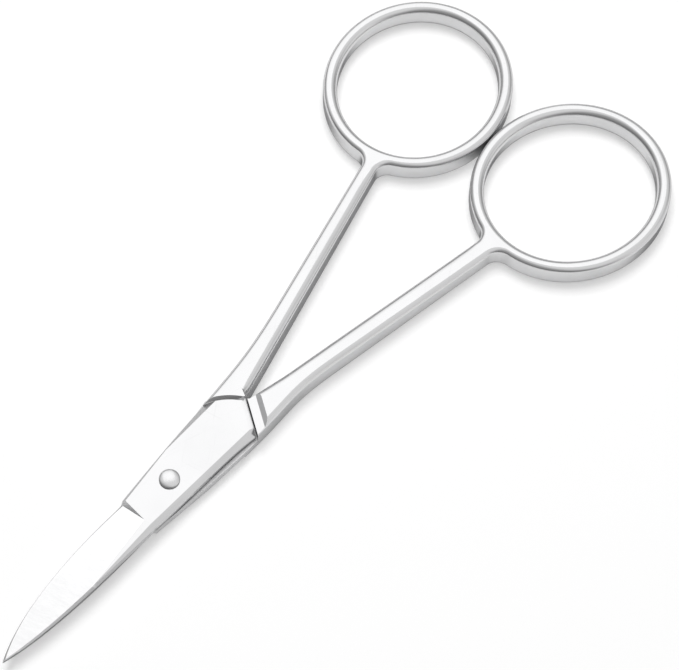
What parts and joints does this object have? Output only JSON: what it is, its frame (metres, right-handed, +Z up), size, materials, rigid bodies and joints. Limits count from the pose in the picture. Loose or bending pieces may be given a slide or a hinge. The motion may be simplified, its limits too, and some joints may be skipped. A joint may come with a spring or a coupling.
{
  "type": "facial hair scissors",
  "caption": "Small polished steel scissors for facial hair, with round finger rings, slim shanks, narrow straight blades and a riveted pivot.",
  "frame": {"origin": "on the pivot's axis, in the plane of the rear plate's underside, on the rivet's flush peened end", "axes": "+Y from the pivot to the finger rings, -Y to the tips, +Z up out of the front half's plate along the pivot, the scissors lying flat and closed"},
  "size_m": [0.0506, 0.109, 0.004],
  "materials": {
    "front_steel": "mirror-polished stainless steel with ground facets",
    "rear_steel": "mirror-polished stainless steel with ground facets",
    "rivet_steel": "polished stainless steel, turned head"
  },
  "bodies": {
    "rear": {"rear_half": "rear_steel", "pivot_rivet": "rivet_steel"},
    "front": {"front_half": "front_steel"}
  },
  "joints": [
    {"name": "pivot", "type": "hinge", "parent": "rear", "child": "front", "pos_m": [0, 0, 0.00145], "axis": [0, 0, 1], "range_deg": [0, 145]}
  ]
}
